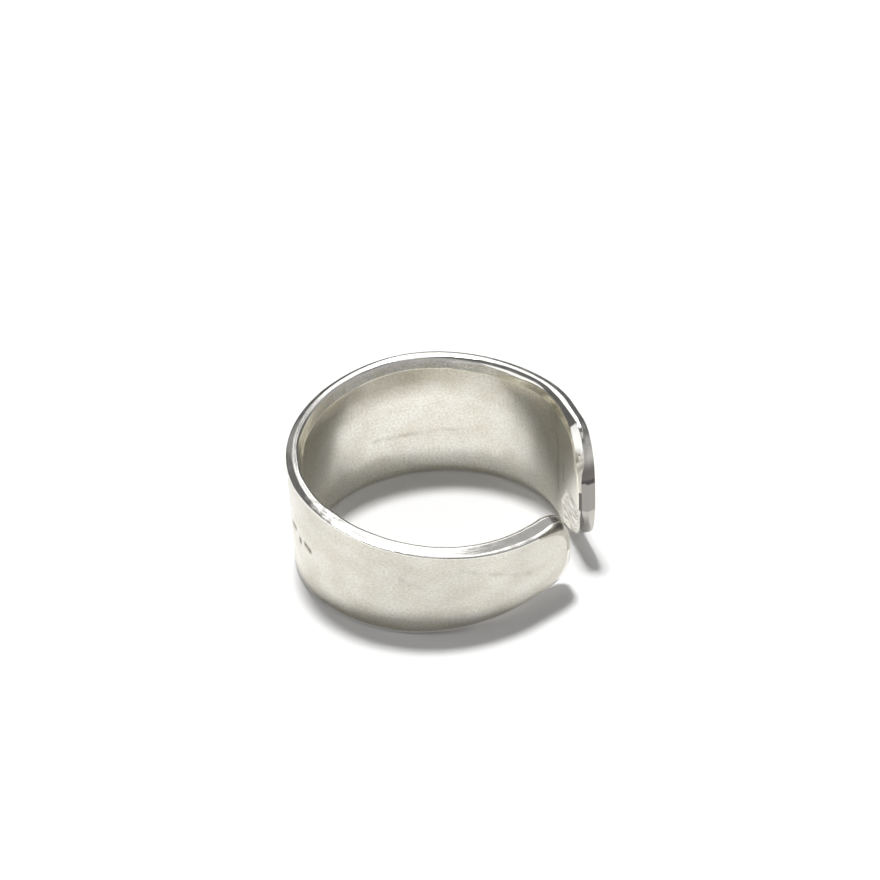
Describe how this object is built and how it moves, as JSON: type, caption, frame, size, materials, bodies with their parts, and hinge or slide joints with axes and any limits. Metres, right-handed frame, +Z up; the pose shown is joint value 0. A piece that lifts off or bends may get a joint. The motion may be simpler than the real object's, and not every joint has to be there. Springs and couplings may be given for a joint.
{
  "type": "spoon ring",
  "caption": "Open finger ring bent from a tapered silver spoon handle, with rounded ends either side of a gap, lying on its side.",
  "frame": {"origin": "middle of the ring's footprint, on the surface that it lies on", "axes": "+Z up, along the finger hole's axis, because the band's lower edge lies flat; the gap between the ends faces +X and -Y"},
  "size_m": [0.0216, 0.0206, 0.0103],
  "materials": {
    "silver": "satin sterling silver, polished along the edges"
  },
  "bodies": {
    "root": {"band": "silver"}
  },
  "joints": []
}
